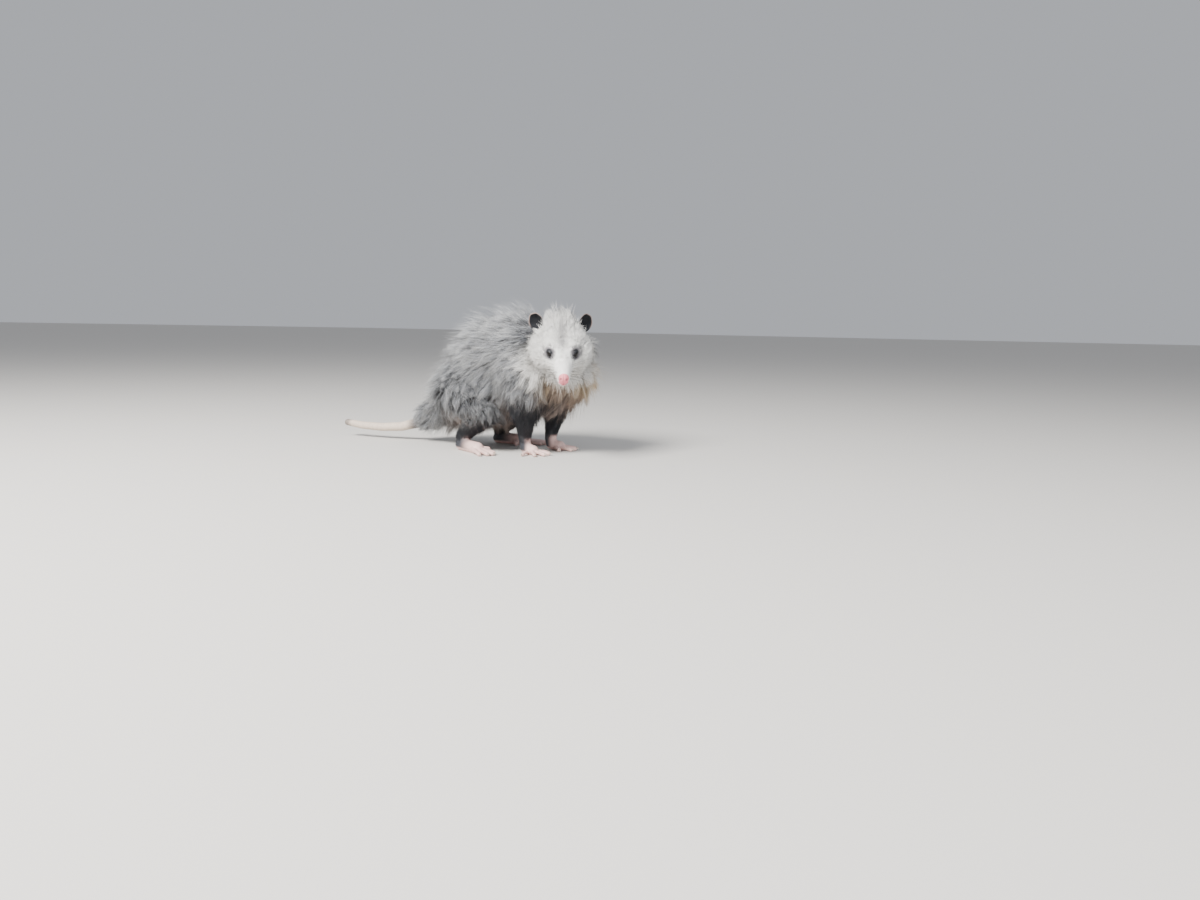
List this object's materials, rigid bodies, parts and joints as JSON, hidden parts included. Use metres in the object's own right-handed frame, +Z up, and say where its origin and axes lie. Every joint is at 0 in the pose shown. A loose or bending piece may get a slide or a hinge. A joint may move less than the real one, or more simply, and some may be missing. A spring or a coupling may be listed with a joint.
{
  "type": "Virginia opossum, life-size still model",
  "caption": "Life-size still model of a grey Virginia opossum standing low, with its white face turned to its right and a short bare tail.",
  "frame": {"origin": "on the floor under the middle of the animal's bounding box", "axes": "+X from the tail towards the chest, the way the body heads, +Y to the animal's left, +Z up from the floor it stands on"},
  "size_m": [0.4418, 0.1688, 0.2047],
  "materials": {
    "grey_fur": "long soft grey coat with white guard hairs",
    "dark_fur": "short near-black leg fur",
    "face_fur": "short white face fur",
    "bare_pink": "bare pink skin",
    "ear_skin": "bare black skin",
    "tail_skin": "bare scaly cream skin",
    "eye": "wet black"
  },
  "bodies": {
    "root": {"ear_left": "ear_skin", "ear_right": "ear_skin", "eye_left": "eye", "eye_right": "eye", "forefoot_left": "bare_pink", "forefoot_right": "bare_pink", "foreleg_left": "dark_fur", "foreleg_right": "dark_fur", "head": "face_fur", "hindfoot_left": "bare_pink", "hindfoot_right": "bare_pink", "neck": "grey_fur", "nose": "bare_pink", "shank_left": "dark_fur", "shank_right": "dark_fur", "tail_base": "grey_fur", "tail_middle": "tail_skin", "tail_tip": "tail_skin", "thigh_left": "grey_fur", "thigh_right": "grey_fur", "torso": "grey_fur"}
  },
  "joints": []
}
